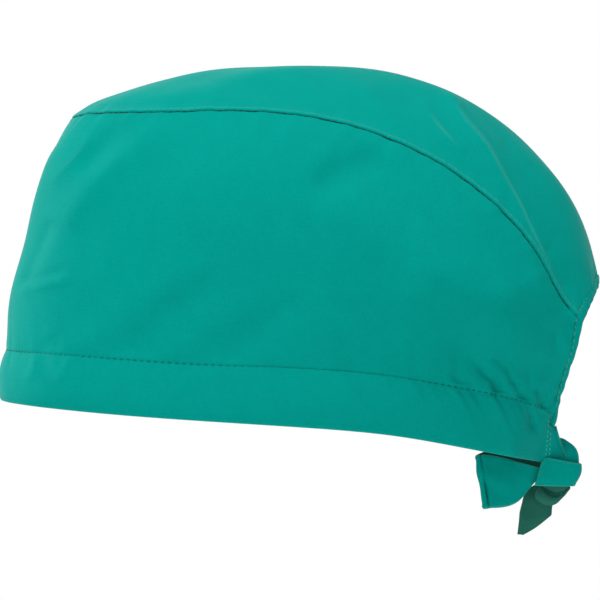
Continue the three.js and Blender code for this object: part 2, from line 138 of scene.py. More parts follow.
LEFT, RIGHT, BOTH = 1, -1, 0
SIDE_FOLDS = [
    soft("round of the brow", BOTH, 10, 2.0, (-82, 119), (-88, 110)),
    soft("hump under the seam", LEFT, 7, 1.9, (5, 118), (12.6, 112.5), (17, 109)),
    soft("hollow before the hump", LEFT, 3, -1.0, (-3, 120), (-4, 112)),
    soft("hollow behind the hump", LEFT, 7, -2.4, (36, 105), (27, 100), (18, 94)),
    crisp("forehead crease", LEFT, 4, 1.2, (-74, 113), (-80, 106.5), (-86.6, 99)),
    soft("hollow behind the crease", LEFT, 5, -1.6, (-62, 117), (-73, 105)),
    soft(
        "forehead swell", LEFT, 5, 0.9,
        (-44.6, 119.9), (-55, 108.5), (-67.5, 99.7), (-80, 84.4),
    ),
    soft("hollow behind the swell", LEFT, 10, -1.4, (-29, 115), (-57, 94), (-74, 72)),
    soft("temple crease", LEFT, 3, -1.0, (-89.3, 79), (-98, 60)),
    crisp("temple wrinkle", LEFT, 1.5, -0.7, (-100, 58.5), (-84, 61.9)),
    soft("lip of the wrinkle", LEFT, 2, 0.7, (-99, 55.5), (-84, 58.6)),
    soft("front slack", LEFT, 8, 1.1, (-67.5, 37), (-52, 50), (-34, 61.5)),
    soft("hollow under the front slack", LEFT, 7, -1.1, (-55, 34), (-34, 51)),
    soft("middle slack", LEFT, 7, 0.7, (-37, 32), (-10, 51)),
    soft("hollow under the middle slack", LEFT, 7, -0.8, (-18, 32), (5, 47)),
    soft("front pucker", BOTH, 3, -0.7, (-86.6, 34.5), (-86, 31.5)),
    soft("second front pucker", BOTH, 3.5, -0.7, (-66.4, 33), (-66, 29.5)),
    soft("slack before the nape", BOTH, 12, 2.8, (60, 58), (76, 54), (88, 52)),
    soft("hollow at the nape", BOTH, 8, -2.8, (70, 29), (86, 26), (97, 25)),
    soft("hollow under the seam", LEFT, 10, -1.5, (42, 93), (62, 79), (76, 60)),
    soft("slack beside the hem", BOTH, 4, 1.0, (100, 59), (111.5, 33)),
    soft("dent beside the hem", BOTH, 2.5, -1.1, (108, 38), (108.6, 33)),
    soft("gather over the ear", BOTH, 2, -0.8, (67, 22.5), (71, 19)),
    soft("ridge beside it", BOTH, 2, 0.7, (73, 26), (76.5, 19.5)),
    soft("gather behind the ear", BOTH, 2.4, -1.9, (79, 24), (85, 17)),
    soft("long gather", BOTH, 2, 1.3, (83, 26), (92, 16)),
    soft("gather near the corner", BOTH, 2.1, -1.9, (90, 20), (95, 14)),
    soft("corner pinch", BOTH, 2.8, -1.7, (101, 15.5), (103.5, 10.5)),
    soft("slack right side", RIGHT, 14, 1.4, (-20, 105), (10, 95)),
    soft("right forehead swell", RIGHT, 7, 1.3, (-50, 112), (-72, 92)),
    soft("right hollow", RIGHT, 9, -1.3, (-60, 45), (-20, 60)),
]
CROWN_FOLDS = [
    soft("long pleat", LEFT, 8, 1.2, (70, 128), (84, 103), (103, 66)),
    crisp(
        "long pleat's ridge", LEFT, 3.4, 1.9,
        (68.3, 131), (74.2, 120.5), (82, 110.7), (87.2, 101), (93.8, 89), (101.6, 72), (107, 62),
    ),
    soft(
        "hollow behind the long pleat", LEFT, 6, -1.1,
        (79, 128), (87, 114), (95, 94), (104, 75),
    ),
    crisp("short pleat's ridge", LEFT, 2.6, 1.0, (57.5, 127), (63.7, 117.2), (71, 109)),
    soft("front swell", LEFT, 4, 0.6, (35, 132), (44, 119)),
    soft("hollow before the swell", LEFT, 5, -0.6, (22, 134), (32, 121)),
    soft("corner hollow", BOTH, 3.2, -2.6, (104.5, 69), (110, 57)),
    soft("temple fold", BOTH, 4, 0.8, (-24, 130), (-4, 127)),
    crisp("right pleat", RIGHT, 4, 1.4, (66, 128), (82, 108), (100, 76)),
    soft("right slack", RIGHT, 7, 0.8, (20, 136), (36, 122)),
]
BAND_FOLDS = [
    soft("front tuck", BOTH, 1.7, 0.55, (-93.5, 29), (-95.4, 21.8)),
    soft("second front tuck", BOTH, 2, 0.5, (-78.5, 29), (-83, 21.8)),
    soft("third front tuck", BOTH, 2, 0.35, (-69, 28), (-71.5, 24)),
    soft("hollow near the end", BOTH, 5, -0.7, (75, 8), (85, 2)),
    soft("end pinch", BOTH, 2.5, -2.0, (100.5, 6.5), (100.4, 3)),
]

# The band's end is drawn flat, inward and back towards the knot, over shares of the way round.
# back: how far it moves back from its top (0) to its rim (1)
BAND_END = {
    "inward_from": 0.88,
    "inward_to": 0.97,
    "inward": 0.32,
    "flat_from": 0.92,
    "flat": 0.75,
    "back_from": 0.955,
}
END_BACK = table("down back", (0, -1.5), (0.2, -1.3), (0.57, 2.7), (1, 6.9))

# Rows of stitches across the band's end: where along Y they start at the stitch line and reach the
# rim, which shares of that height they cover, and how far they stand proud
END_ROWS = table("top rim", (106.6, 106.0), (107.6, 107.6))
END_ROW_SHARES = np.linspace(0.02, 0.97, 40)
END_ROW_PROUD = 0.3
END_ROW_SEARCH = np.linspace(0.9, 1, 200)

# The knot: its middle, its turn from top to bottom, and the turn's path in plan, from its free edge
# over the left side, round the back and in behind. along counts from the middle of each height.
# The turn is a little fuller halfway up.
KNOT = np.array([6, 111, -17.0])
WRAP_FULLNESS = 0.7
WRAP_TURNS = table(
    "at y z length slope",
    (0, 1.7, 4.7, 7.3, -0.2),
    (1, 1.1, 1.7, 8.3, -0.14),
    (2, 0.3, -1.8, 8.6, -0.06),
    (3, -1.6, -5.4, 7.9, -0.02),
)
WRAP_PATH = table(
    "at x along",
    (0, 10.6, -1.0),
    (1, 11.0, -0.6),
    (2, 10.8, 0.0),
    (3, 9.8, 0.5),
    (4, 7.2, 0.85),
    (5, 3.0, 1.0),
    (6, -1.5, 0.93),
    (7, -4.8, 0.6),
    (8, -6.2, 0.0),
    (9, -5.6, -0.6),
)

# Strips of tie, edge a above or left of edge b, bulge to the left side, dip down in the middle
STRIP_COLUMNS = "ax ay az bx by bz bulge dip"
TIE_LEFT = table(
    STRIP_COLUMNS,
    (12.4, -1.0, 18.6, 6.6, -2.7, 6.6, 0.4, 0),
    (9.4, 0.6, 13.6, 5.0, -2.9, 7.2, 0.7, 0),
    (5.2, 2.4, 9.0, 3.2, -2.8, 7.0, 0.6, 0),
    (2.0, 3.8, 5.6, 1.2, -2.6, 5.2, 0.3, 0),
)
TIE_RIGHT = table(
    STRIP_COLUMNS,
    (-24.5, -1.5, 17.6, -18.6, -2.9, 4.4, -0.6, 0),
    (-18.5, -0.4, 14.6, -13.5, -2.6, 6.0, -0.6, 0),
    (-13.5, 1.4, 12.9, -9.5, -2.8, 8.0, 0, 0),
    (-8.8, 3.6, 12.3, -5.5, -2.8, 9.2, 0.4, 0),
    (-5.0, 5.6, 10.9, -3.0, -2.6, 9.4, 0.6, 0),
    (-1.6, 7.5, 9.3, 0.2, -2.4, 8.0, 0.8, 0),
    (1.0, 8.6, 6.6, 2.4, -1.6, 5.0, 0.6, 0),
    (1.8, 8.8, 3.0, 2.8, -1.0, 2.0, 0.2, 0),
)
LOOP = table(
    STRIP_COLUMNS,
    (5.5, -2.5, 0.8, 5.5, -4.5, -3.2, 0.3, 0),
    (8.4, -7.8, 1.9, 8.2, -9.0, -3.8, 0.5, 0),
    (10.2, -12.9, 3.3, 10.8, -13.0, -8.2, 0.7, 0),
    (11.2, -18.9, 5.0, 12.6, -17.0, -12.0, 0.9, 0),
    (11.9, -24.2, 6.4, 13.4, -21.8, -13.6, 0.7, 0),
    (12.4, -28.6, 7.1, 13.8, -25.4, -13.9, 0.2, 0),
    (12.5, -30.4, 7.2, 13.4, -27.0, -14.0, 0, 0),
    (11.6, -31.0, 7.1, 12.5, -27.6, -14.1, 0, 0),
    (12.8, -31.5, 7.0, 13.8, -28.2, -14.2, 0, 0),
    (12.6, -32.2, 6.9, 13.6, -29.1, -14.3, 0.1, 0),
    (11.2, -32.4, 6.8, 12.2, -29.6, -14.3, 0, 0),
    (8.9, -29.6, 8.0, 10.0, -27.0, -14.0, -0.2, 0),
    (7.4, -24.0, 9.2, 8.0, -21.2, -13.2, -0.4, 0),
    (5.6, -18.0, 9.4, 6.0, -16.4, -11.2, -0.5, 0),
    (2.6, -12.4, 8.2, 2.6, -12.6, -7.6, -0.5, 0),
    (-0.2, -7.4, 6.0, -0.2, -9.4, -4.2, -0.4, 0),
    (-0.8, -3.0, 4.6, -0.8, -5.0, -3.6, -0.3, 0),
)
TAIL = table(
    STRIP_COLUMNS,
    (-3.0, -6.0, -4.0, -3.0, 4.4, -4.0, 0.2, 0),
    (-2.8, -9.6, -6.2, -2.8, 4.0, -7.0, 0.6, 0),
    (-2.6, -12.3, -8.6, -2.6, 1.4, -10.0, 1.0, 0),
    (-1.8, -13.6, -12.6, -1.8, -1.3, -13.0, 1.2, 0),
    (-1.2, -14.5, -16.0, -1.0, -1.9, -16.8, 1.1, 0),
    (-0.8, -14.8, -18.6, -0.6, -3.1, -18.4, 1.0, 0),
    (-0.2, -15.2, -22.2, 0.0, -8.0, -22.2, 0.6, 0),
    (0.2, -15.6, -25.2, 0.2, -13.2, -25.1, 0.2, 0),
)
KNOT_FOLD = table(
    STRIP_COLUMNS,
    (4.6, -7.2, -6.1, 4.0, 5.1, -6.0, 1.0, 4.4),
    (5.4, -8.2, -7.4, 4.6, 4.6, -6.4, 1.4, 4.4),
    (4.8, -8.7, -8.8, 4.0, 4.0, -7.0, 1.3, 4.2),
    (4.0, -8.5, -9.9, 3.6, 3.3, -7.6, 1.0, 4.2),
)
KNOT_LIP = table(
    STRIP_COLUMNS,
    (5.2, -5.0, -3.6, 5.2, 4.6, -3.6, 0.4, 0),
    (5.0, -5.4, -4.6, 5.0, 5.0, -4.4, 0.9, 1.4),
    (4.2, -5.2, -5.4, 4.2, 5.0, -4.8, 0.9, 2.6),
)


# Reading the tables

def smooth(knots, values, at):
    """A natural cubic spline through the values at the knots, read at each place of at."""
    knots, values, at = np.asarray(knots, float), np.asarray(values, float), np.asarray(at, float)
    gaps = np.diff(knots)
    last = len(knots) - 1
    rises = np.diff(values) / gaps
    system, right = np.eye(last + 1), np.zeros(last + 1)
    for i in range(1, last):
        system[i, i - 1 : i + 2] = gaps[i - 1], 2 * (gaps[i - 1] + gaps[i]), gaps[i]
        right[i] = 6 * (rises[i] - rises[i - 1])
    bend = np.linalg.solve(system, right)
    at = np.clip(at, knots[0], knots[-1])
    i = np.clip(np.searchsorted(knots, at) - 1, 0, last - 1)
    gap, t, s = gaps[i], at - knots[i], knots[i + 1] - at
    curve = (bend[i] * s**3 + bend[i + 1] * t**3) / (6 * gap)
    from_before = values[i] / gap - bend[i] * gap / 6
    from_after = values[i + 1] / gap - bend[i + 1] * gap / 6
    return curve + from_before * s + from_after * t


def read(rows, by, column, at):
    """A column of a table, read smoothly at places of another column."""
    return smooth(rows[by], rows[column], at)


def station(column, u):
    """A column of the seam's stations on both sides; the right half mirrors the left."""
    sign = -1 if column == "seam_x" else 1
    knots = np.concatenate([-STATIONS["u"][:0:-1], STATIONS["u"]])
    values = np.concatenate([sign * STATIONS[column][:0:-1], STATIONS[column]])
    return smooth(knots, values, u)


def ease(value, low, high):
    """From 0 at low to 1 at high, soft at both ends."""
    t = np.clip((value - low) / (high - low), 0, 1)
    return t * t * (3 - 2 * t)


def bell(away, width):
    """Full at 0 and fading to both sides over about this width."""
    return np.exp(-((away / width) ** 2))


def fading(away, reach):
    """Full at 0 and dying away over about this reach."""
    return np.exp(-away / reach)


def size(vectors):
    """How long each vector is."""
    return np.linalg.norm(vectors, axis=-1)


def unit(vectors):
    return vectors / np.maximum(np.linalg.norm(vectors, axis=-1, keepdims=True), 1e-9)


def stack(x, y, z):
    """Points from their coordinates, whichever of these are grids, rows or single numbers."""
    return np.stack(np.broadcast_arrays(x, y, z), axis=-1).astype(float)


# The cap's surfaces

def seam_point(u):
    """The crown seam: u round the cap from the right back corner (-1) to the left (1)."""
    return stack(station("seam_x", u), station("seam_y", u), station("seam_z", u))


def band_edge(curve, column, u):
    """The rim or the stitch line: u round the cap from the right back end (-1) to the left (1)."""
    angle = np.radians(curve["end"] * np.asarray(u, float))
    forward, across = np.cos(angle), np.sin(angle)
    reach = np.where(forward > 0, curve["front"], curve["back"])
    power = np.where(forward > 0, curve["power"], ELLIPSE)
    total = (np.abs(forward) / reach) ** power + (np.abs(across) / curve["half"]) ** power
    radius = total ** (-1 / power)
    y = PLAN_MIDDLE - radius * forward
    return stack(radius * across, y, read(BAND_HEIGHTS, "y", column, y))


def outward_at(points):
    """The level direction out of the cap at each point."""
    reach = np.where(points[..., 1] < PLAN_MIDDLE, STITCH_LINE["front"], STITCH_LINE["back"])
    across = points[..., 0] / STITCH_LINE["half"] ** 2
    return unit(stack(across, (points[..., 1] - PLAN_MIDDLE) / reach**2, 0))


def path_distance(path, y, z):
    """How far each place of the side view is from a path of points."""
    nearest = np.full(np.shape(y), np.inf)
    for (y0, z0), (y1, z1) in zip(path, path[1:]):
        run_y, run_z = y1 - y0, z1 - z0
        along = np.clip(((y - y0) * run_y + (z - z0) * run_z) / (run_y**2 + run_z**2), 0, 1)
        nearest = np.minimum(nearest, np.hypot(y - y0 - along * run_y, z - z0 - along * run_z))
    return nearest


# How round the top of a crisp crease is
CREASE_ROUND = 0.4
# How strong the painted highlight is along creases, the pressed seam and folded edges, where they
# catch the light
CREASE_HIGHLIGHT = 0.12
SEAM_HIGHLIGHT = 0.16
EDGE_HIGHLIGHT = 0.25
# A crease's painted highlight line: its width, where it ends in the crease, and how far from the
# ends it starts
CREASE_LINE = 0.5
CREASE_LEAST = 0.3
CREASE_END = 12
# A fold of one side fades in over this width beside the cap's middle line
SIDE_FADE = 15
# Folds die out over the crown's middle, above the panel's foot, and towards the seam, where a
# higher power keeps them nearer to it
RIDGE_CALM = (12, 32)
FOOT_CALM = 0.04
WALL_CALM_POWER = 8
CROWN_CALM_POWER = 10


def on_fold(one, points):
    """How much of a fold each point has, and how far it is from the fold's path."""
    away = path_distance(one["path"], points[..., 1], points[..., 2])
    if one["shape"] == "crisp":
        profile = fading(np.hypot(away, CREASE_ROUND) - CREASE_ROUND, one["width"])
    else:
        profile = bell(away, one["width"])
    side = ease(one["side"] * points[..., 0], 0, SIDE_FADE) if one["side"] else 1.0
    return side * profile, away


def fold_lift(folds, points):
    """How far all the folds of a table lift each point."""
    return sum(one["lift"] * on_fold(one, points)[0] for one in folds)


def folded(folds, points, outward, calm):
    """Points moved out by the folds. The second pass allows for the first, so that the folds end up
    on their paths."""
    first = (calm * fold_lift(folds, points))[..., None] * outward
    return points + (calm * fold_lift(folds, points + first))[..., None] * outward


def crease_highlight(folds, points):
    """A painted highlight along the tops of crisp creases, where they catch the light, all but at
    their ends.
    """
    pale = np.zeros(points.shape[:-1])
    for one in folds:
        if one["shape"] == "crisp" and one["lift"] > 0:
            share, away = on_fold(one, points)
            place = points[..., 1:]
            to_start, to_last = (
                size(place - np.array(one["path"][end])) for end in (0, -1)
            )
            line = bell(away, CREASE_LINE) * ease(np.minimum(to_start, to_last), 0, CREASE_END)
            pale = np.maximum(pale, CREASE_HIGHLIGHT * line * (share > CREASE_LEAST))
    return pale


def wall_point(u, v):
    """The side panel's outer face: u round the cap, v from the stitch line up to the crown seam."""
    u, v = np.broadcast_arrays(np.asarray(u, float), np.asarray(v, float))
    foot, top = band_edge(STITCH_LINE, "stitch", u), seam_point(u)
    points = foot + (top - foot) * v[..., None]
    out = np.zeros(v.shape)
    for i, column in enumerate(("low", "middle", "high")):
        share = np.zeros(len(BOW_HEIGHTS))
        share[i + 1] = 1
        out += station(column, u) * smooth(BOW_HEIGHTS, share, v)
    outward = outward_at(points)
    seam_calm = (1 - np.abs(2 * v - 1) ** WALL_CALM_POWER) ** 2
    calm = np.where(v > 0.5, seam_calm, ease(v, 0, FOOT_CALM))
    return folded(SIDE_FOLDS, points + outward * out[..., None], outward, calm)


def crown_point(k, w):
    """The crown's outer face: k from the right seam (-1) to the left (1), w from front to rear."""
    k, w = np.broadcast_arrays(np.asarray(k, float), np.asarray(w, float))
    seam = seam_point(w)
    rise, swing = 1 - np.abs(k) ** CROWN_FULLNESS, 1 - k**2
    points = stack(
        seam[..., 0] * k,
        seam[..., 1] + (station("ridge_y", w) - seam[..., 1]) * swing,
        seam[..., 2] + (station("ridge_z", w) - seam[..., 2]) * rise,
    )
    seam_calm = (1 - np.abs(k) ** CROWN_CALM_POWER) ** 2
    calm = ease(np.abs(points[..., 0]), *RIDGE_CALM) * seam_calm
    outward = unit(points - CROWN_HEART)
    return folded(CROWN_FOLDS, points, outward, calm)


# Relief of sewn cloth

def ripples(seed, shortest, longest, count=5):
    """Uneven ripples of about unit height, by place in millimetres along a row."""
    chance = np.random.default_rng(seed)
    lengths = np.geomspace(shortest, longest, count) * chance.uniform(0.9, 1.1, count)
    starts = chance.uniform(0, 2 * math.pi, count)

    def height(run):
        waves = [np.sin(2 * math.pi * run / l + s) for l, s in zip(lengths, starts)]
        return sum(waves) / math.sqrt(count)

    return height


def swells(seed, shortest, longest, count=7):
    """Soft unevenness of slack cloth, of about unit height, by place in space."""
    chance = np.random.default_rng(seed)
    ways = unit(chance.normal(size=(count, 3)))
    lengths = np.geomspace(shortest, longest, count)
    starts = chance.uniform(0, 2 * math.pi, count)

    def height(points):
        parts = zip(ways, lengths, starts)
        waves = [np.sin(2 * math.pi * (points @ w) / l + s) for w, l, s in parts]
        return sum(waves) / math.sqrt(count)

    return height


band_ripples = ripples(seed=11, shortest=6.5, longest=24)
seam_ripples = ripples(seed=12, shortest=7, longest=30)
hem_ripples = ripples(seed=13, shortest=5, longest=14)
side_swell = swells(seed=14, shortest=34, longest=90)
crown_swell = swells(seed=15, shortest=30, longest=80)
tie_swell = swells(seed=16, shortest=7, longest=22)
# How high the slack cloth's soft unevenness is, and how far from a seam it is full
SIDE_SWELL = 0.6
CROWN_SWELL = 0.55
BAND_SWELL = 0.3
SWELL_FULL = 15
# The band takes its unevenness from this far off, so that it differs from the panel's above it
BAND_SWELL_SHIFT = 40

# Points are measured against a line this many at a time, to save memory
PORTION = 4000


def distance_to(line, points):
    """Each point's distance to a line of points, and how far along it the nearest place is."""
    flat = points.reshape(-1, 3)
    runs = lengths_along(line, 0)
    away, along = np.empty(len(flat)), np.empty(len(flat))
    last = len(line) - 1
    for start in range(0, len(flat), PORTION):
        part = flat[start : start + PORTION]
        gaps = ((part[:, None] - line[None]) ** 2).sum(-1)
        nearest = gaps.argmin(1)
        best = np.full(len(part), np.inf)
        best_run = np.zeros(len(part))
        for first in (np.clip(nearest - 1, 0, last - 1), np.clip(nearest, 0, last - 1)):
            step = line[first + 1] - line[first]
            share = np.clip(((part - line[first]) * step).sum(1) / (step**2).sum(1), 0, 1)
            gap = np.linalg.norm(part - line[first] - step * share[:, None], axis=1)
            run = runs[first] + share * np.linalg.norm(step, axis=1)
            better = gap < best
            best = np.where(better, gap, best)
            best_run = np.where(better, run, best_run)
        away[start : start + PORTION] = best
        along[start : start + PORTION] = best_run
    return away.reshape(points.shape[:-1]), along.reshape(points.shape[:-1])


def normals_of(points):
    """The directions out of a grid's face."""
    return unit(np.cross(np.gradient(points, axis=0), np.gradient(points, axis=1)))


def raised(points, lift):
    """A grid moved out of its face by this much."""
    return points + normals_of(points) * np.asarray(lift)[..., None]


def lengths_along(points, axis):
    """How far each point of a grid lies along its row or column."""
    steps = size(np.diff(points, axis=axis))
    zero = np.zeros_like(np.take(steps, [0], axis=axis))
    return np.concatenate([zero, np.cumsum(steps, axis=axis)], axis=axis)


# Materials

def linear(hex_colour):
    """An sRGB hex colour as linear red, green and blue, with full alpha."""
    parts = [int(hex_colour[i : i + 2], 16) / 255 for i in (1, 3, 5)]
    return [c / 12.92 if c <= 0.04045 else ((c + 0.055) / 1.055) ** 2.4 for c in parts] + [1.0]


def add_node(tree, kind, inputs, **settings):
    """A node with its settings, and its inputs set or linked."""
    made = tree.nodes.new("ShaderNode" + kind)
    for name, value in settings.items():
        setattr(made, name, value)
    for name, value in inputs.items():
        if isinstance(value, bpy.types.NodeSocket):
            tree.links.new(value, made.inputs[name])
        else:
            made.inputs[name].default_value = value
    return made


# A colour mix node's own sockets, and plain white
MIX_FIRST, MIX_SECOND, MIX_RESULT = 6, 7, 2
WHITE = (1, 1, 1, 1)


def noise(tree, place, size, detail, roughness):
    """Soft noise with features of this many millimetres."""
    inputs = {"Vector": place, "Scale": 1 / (size * MM), "Detail": detail, "Roughness": roughness}
    return add_node(tree, "TexNoise", inputs).outputs["Fac"]


def remapped(tree, value, span, result, **settings):
    """A value whose span is spread over the span of the result."""
    inputs = {"Value": value, "From Min": span[0], "From Max": span[1]}
    inputs.update({"To Min": result[0], "To Max": result[1]})
    return add_node(tree, "MapRange", inputs, **settings).outputs["Result"]


def product(tree, first, second):
    return add_node(tree, "Math", {0: first, 1: second}, operation="MULTIPLY").outputs[0]


def mixed(tree, share, first, second):
    """Two colours mixed, by the share of the second."""
    inputs = {"Factor": share, MIX_FIRST: first, MIX_SECOND: second}
    return add_node(tree, "Mix", inputs, data_type="RGBA").outputs[MIX_RESULT]


# Real plain weave of this cloth has about 4 threads a millimetre, finer than a pixel. It is drawn
# at 0.8 mm a thread, so that it just shows. A wave texture has 20 / (2 pi) waves at scale 1.
THREAD_PITCH = 0.8
WAVES_PER_UNIT = 2 * math.pi / 20
WEAVE_DEPTH = 0.08
WEAVE_TONES = (0.965, 1.05)
# Fine mottling where single threads took the dye a little darker or paler, and broad soft patches
GRAIN_SIZE = 0.8
GRAIN_SPAN = (0.3, 0.7)
GRAIN_TONES = (0.965, 1.035)
SLUB_SIZE = 9
SLUB_SPAN = (0.35, 0.7)
SLUB_SHADE = (0.0, 0.35)


def woven_polycotton(name, colour, shade_colour, highlight_colour, sheen):
    """Piece-dyed plain-woven polyester and cotton: flat and even, no gloss, a pale bloom at grazing
    angles from its fibre ends, and a painted highlight along creases, the pressed seam and folded
    and cut edges, where they catch the light."""
    material = bpy.data.materials.new(name)
    material.use_nodes = True
    tree = material.node_tree
    tree.nodes.clear()
    place = add_node(tree, "UVMap", {}, uv_map="weave").outputs["UV"]
    scale = WAVES_PER_UNIT / (THREAD_PITCH * MM)
    waves = {"Vector": place, "Scale": scale, "Distortion": 0.0}
    warp = add_node(tree, "TexWave", waves, bands_direction="X").outputs["Fac"]
    weft = add_node(tree, "TexWave", waves, bands_direction="Y").outputs["Fac"]
    weave = product(tree, warp, weft)
    solid = add_node(tree, "TexCoord", {}).outputs["Object"]
    slubs = noise(tree, solid, SLUB_SIZE, detail=4.0, roughness=0.6)
    fibres = noise(tree, solid, GRAIN_SIZE, detail=1.0, roughness=0.5)
    shade = remapped(tree, slubs, SLUB_SPAN, SLUB_SHADE)
    dyed = mixed(tree, shade, linear(colour), linear(shade_colour))
    grain = remapped(tree, fibres, GRAIN_SPAN, GRAIN_TONES)
    tone = product(tree, grain, remapped(tree, weave, (0.0, 1.0), WEAVE_TONES))
    toned = add_node(tree, "VectorMath", {0: dyed, "Scale": tone}, operation="SCALE")
    # The painted highlight's share at each point, kept in the mesh's edge attribute
    highlight_share = add_node(tree, "Attribute", {}, attribute_name="edge").outputs["Fac"]
    bump = {"Height": weave, "Strength": 0.4, "Distance": WEAVE_DEPTH * MM}
    relief = add_node(tree, "Bump", bump)
    shader = add_node(
        tree,
        "BsdfPrincipled",
        {
            "Base Color": mixed(tree, highlight_share, toned.outputs["Vector"], linear(highlight_colour)),
            "Normal": relief.outputs["Normal"],
            "Roughness": 0.75,
            "IOR": 1.5,
            "Specular IOR Level": 0.02,
            "Sheen Weight": sheen,
            "Sheen Roughness": 0.2,
            "Sheen Tint": linear("#e9f4ee"),
        },
    )
    add_node(tree, "OutputMaterial", {"Surface": shader.outputs["BSDF"]})
    return material


def matt(name, colour, roughness, specular):
    """A plain material without pattern or gloss."""
    material = bpy.data.materials.new(name)
    material.use_nodes = True
    shader = material.node_tree.nodes["Principled BSDF"]
    shader.inputs["Base Color"].default_value = linear(colour)
    shader.inputs["Roughness"].default_value = roughness
    shader.inputs["Specular IOR Level"].default_value = specular
    return material


def spun_thread(name, colour):
    """Spun polyester sewing thread: matt, its twist too fine to see."""
    return matt(name, colour, roughness=0.7, specular=0.2)


# Each cloth's third colour is its painted highlight, laid along creases, the pressed seam and
# folded edges where they catch the light
polycotton_face = woven_polycotton("polycotton_face", "#009b90", "#009287", "#74b5a2", 0.2)
# The reverse is drawn darker and duller than the face: partly the cloth's duller back, partly
# painted shade for the tail, the knot's folds and the loop's inside
polycotton_reverse_shaded = woven_polycotton("polycotton_reverse_shaded", "#2a7060", "#266757", "#6a9f8b", 0.08)
# One thread in two painted tones: painted shade on stitches sunk in their row, painted highlight on
# those along a taut, lit edge
thread_shaded = spun_thread("thread_shaded", "#03655c")
thread_lit = spun_thread("thread_lit", "#45a593")
# The thread that closes the crown seam lies deep between the two panels; its near-black colour is
# painted shade, a dark line for the seam's shadowed crease
seam_shadow_thread = spun_thread("seam_shadow_thread", "#02463f")
face_and_shaded_reverse = [polycotton_face, polycotton_reverse_shaded]
face_both = [polycotton_face, polycotton_face]
shaded_reverse_both = [polycotton_reverse_shaded, polycotton_reverse_shaded]
shaded_reverse_and_face = [polycotton_reverse_shaded, polycotton_face]


# Making the pieces

# Edges that turn more than this stay sharp
SHARP_TURN = math.radians(55)


def shown(name, mesh):
    """An object in the scene that shows a mesh."""
    obj = bpy.data.objects.new(name, mesh)
    bpy.context.scene.collection.objects.link(obj)
    return obj


def dress(obj, node=None):
    """The piece takes a node's place, hiding that node if it has one, and goes where the cap goes.
    """
    if node:
        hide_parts(node)
    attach(obj, "root")
    return obj


def cloth_piece(name, outer, inner, materials, pale=None):
    """A closed wall of cloth between two grids of points. pale: how strong its painted highlight
    is.
    """
    rows, columns = outer.shape[:2]
    rings = np.concatenate([outer, inner[:, ::-1]], axis=1)
    index = np.arange(rows * 2 * columns).reshape(rows, 2 * columns)
    here, after = index[:-1], index[1:]
    quads = np.stack([here, after, np.roll(after, -1, axis=1), np.roll(here, -1, axis=1)], axis=-1)
    faces = [quads.reshape(-1, 4)]
    kinds = [np.tile(np.arange(2 * columns) >= columns, len(here))]
    for row, flip in ((index[0], False), (index[-1], True)):
        front, back = row[:columns], row[: columns - 1 : -1]
        cap = np.stack([front[:-1], front[1:], back[1:], back[:-1]], axis=-1)
        faces.append(cap[:, ::-1] if flip else cap)
        kinds.append(np.zeros(len(cap)))
    mesh = bpy.data.meshes.new(name)
    mesh.from_pydata((rings.reshape(-1, 3) * MM).tolist(), [], np.concatenate(faces).tolist())
    for material in materials:
        mesh.materials.append(material)
    mesh.polygons.foreach_set("material_index", np.concatenate(kinds).astype(np.int32))
    flat = np.stack([lengths_along(outer, 0), lengths_along(outer, 1)], axis=-1)
    places = np.concatenate([flat, flat[:, ::-1]], axis=1).reshape(-1, 2)
    layer = mesh.uv_layers.new(name="weave")
    corners = np.empty(len(mesh.loops), np.int32)
    mesh.loops.foreach_get("vertex_index", corners)
    layer.data.foreach_set("uv", (places[corners] * MM).astype(np.float32).ravel())
    # The painted highlight's share at each point, which the cloth's material reads
    highlight_share = mesh.attributes.new("edge", "FLOAT", "POINT")
    pale = np.zeros(outer.shape[:2]) if pale is None else pale
    pale = np.concatenate([pale, pale[:, ::-1]], axis=1).ravel()
    highlight_share.data.foreach_set("value", pale.astype(np.float32))
    mesh.validate()
    mesh.shade_smooth()
    mesh.set_sharp_from_angle(angle=SHARP_TURN)
    return shown(name, mesh)


# A stitch's thread: its steps and sides, how blunt its ends are, their half thickness and their dip
STITCH_STEPS = 7
STITCH_SIDES = 8
STITCH_BLUNT = 3
STITCH_TIP = 0.05
STITCH_DIP = 0.2
# The line's direction at a stitch is read this far before and after it
STITCH_LOOK = 0.5


